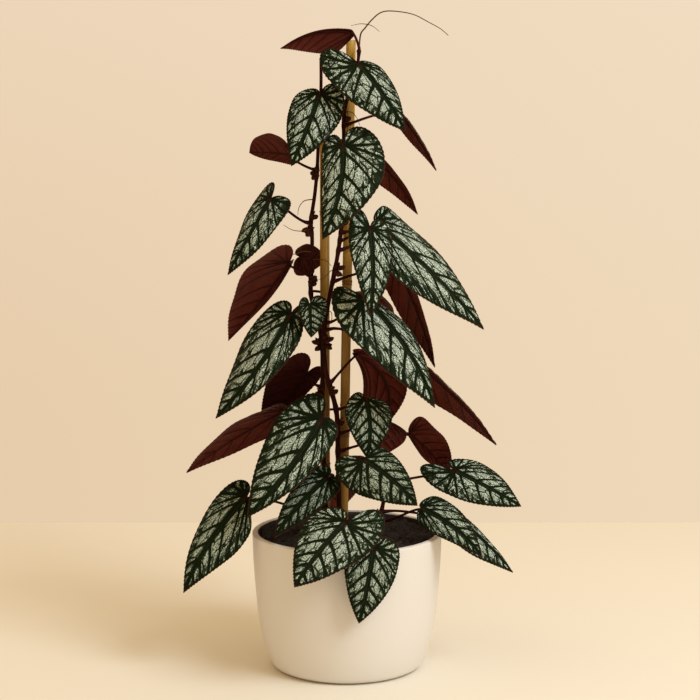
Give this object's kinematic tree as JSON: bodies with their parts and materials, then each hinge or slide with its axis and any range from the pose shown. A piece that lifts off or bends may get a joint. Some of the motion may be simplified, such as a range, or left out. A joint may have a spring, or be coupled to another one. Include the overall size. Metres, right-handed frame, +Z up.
{
  "type": "potted cissus vine",
  "caption": "Potted climbing vine with heart-shaped, serrated, silver-patterned leaves on thin stems, trained up bamboo canes in a round tapering ceramic pot.",
  "frame": {"origin": "centre of the flat underside of the pot, on the surface it stands on", "axes": "+Z up along the canes, -Y towards the viewer of the picture, +X to the viewer's right"},
  "size_m": [0.2649, 0.2108, 0.515],
  "materials": {
    "glaze": "satin cream glaze",
    "soil": "moist crumbly potting mix",
    "bamboo": "satin golden cane",
    "stem": "matte dark maroon bark",
    "leaf": "velvety, silver patches between dark green veins, maroon underside"
  },
  "bodies": {
    "root": {"pot": "glaze", "soil": "soil", "cane_right": "bamboo", "cane_left": "bamboo", "stem_left": "stem", "stem_right": "stem", "stem_low": "stem", "leaf_01": "leaf", "leaf_02": "leaf", "leaf_03": "leaf", "leaf_04": "leaf", "leaf_05": "leaf", "leaf_06": "leaf", "leaf_07": "leaf", "leaf_08": "leaf", "leaf_09": "leaf", "leaf_10": "leaf", "leaf_11": "leaf", "leaf_12": "leaf", "leaf_13": "leaf", "leaf_14": "leaf", "leaf_15": "leaf", "leaf_16": "leaf", "leaf_17": "leaf", "leaf_18": "leaf", "leaf_19": "leaf", "leaf_20": "leaf", "leaf_21": "leaf", "leaf_22": "leaf", "leaf_23": "leaf", "leaf_24": "leaf", "leaf_25": "leaf", "leaf_26": "leaf", "leaf_27": "leaf", "leaf_28": "leaf", "leaf_29": "leaf", "leaf_30": "leaf", "leaf_31": "leaf", "leaf_32": "leaf", "leaf_33": "leaf", "leaf_34": "leaf", "leaf_35": "leaf", "leaf_36": "leaf", "leaf_37": "leaf", "leaf_38": "leaf", "leaf_39": "leaf", "leaf_40": "leaf", "leaf_41": "leaf"}
  },
  "joints": []
}
